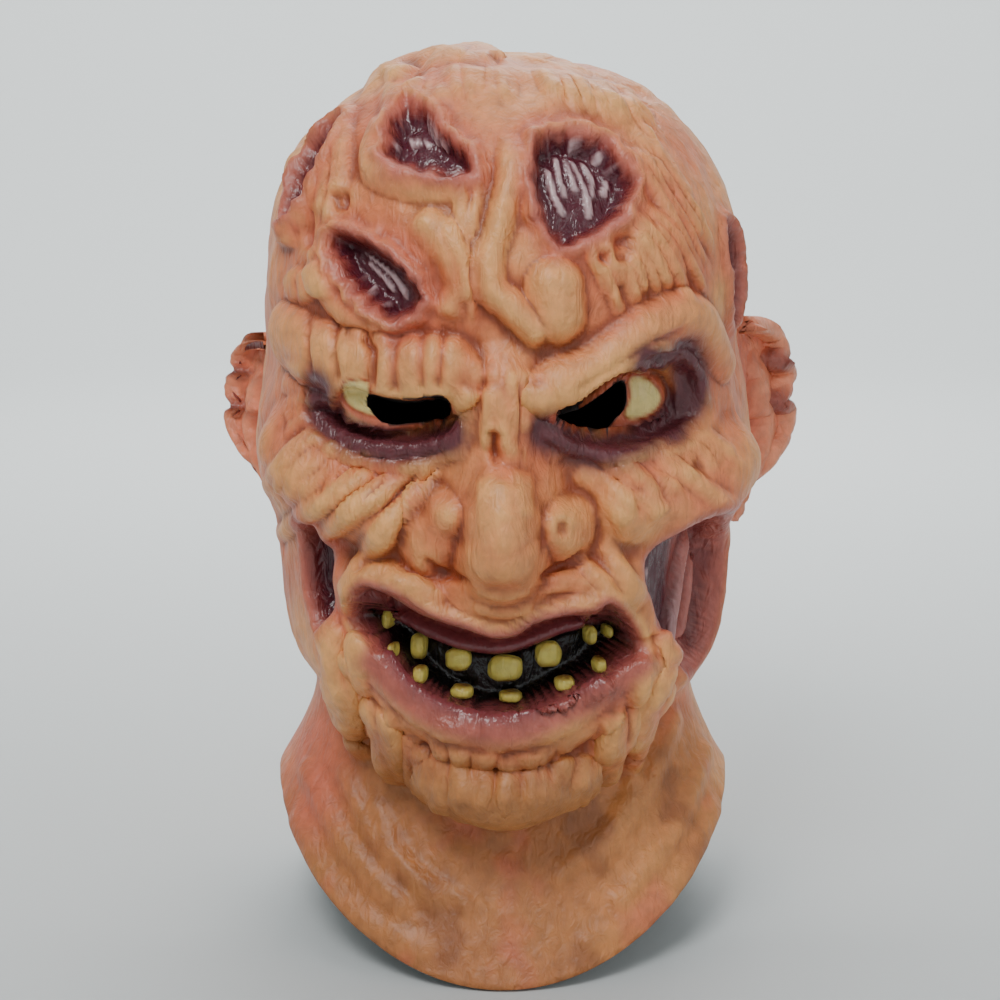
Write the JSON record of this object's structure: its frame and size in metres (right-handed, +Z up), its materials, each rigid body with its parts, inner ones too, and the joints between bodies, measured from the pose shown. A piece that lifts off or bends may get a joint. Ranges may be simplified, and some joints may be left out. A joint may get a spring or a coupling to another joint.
{
  "type": "burnt face mask",
  "caption": "Full-head rubber costume mask with neck bib, two eye holes, open mouth with separate teeth, and pitted, melted skin.",
  "frame": {"origin": "the highest point inside the crown, where the mask hangs on a head", "axes": "+Z up along the head, the face looks along -Y, +X to the right of someone facing the mask"},
  "size_m": [0.2298, 0.2305, 0.3367],
  "materials": {
    "latex_skin": "painted latex, satin",
    "tooth_enamel": "glossy yellow"
  },
  "bodies": {
    "root": {"mask_skin": "latex_skin", "tooth_upper_1": "tooth_enamel", "tooth_upper_2": "tooth_enamel", "tooth_upper_3": "tooth_enamel", "tooth_upper_4": "tooth_enamel", "tooth_upper_5": "tooth_enamel", "tooth_upper_6": "tooth_enamel", "tooth_upper_7": "tooth_enamel", "tooth_lower_1": "tooth_enamel", "tooth_lower_2": "tooth_enamel", "tooth_lower_3": "tooth_enamel", "tooth_lower_4": "tooth_enamel", "tooth_lower_5": "tooth_enamel", "tooth_lower_6": "tooth_enamel"}
  },
  "joints": []
}
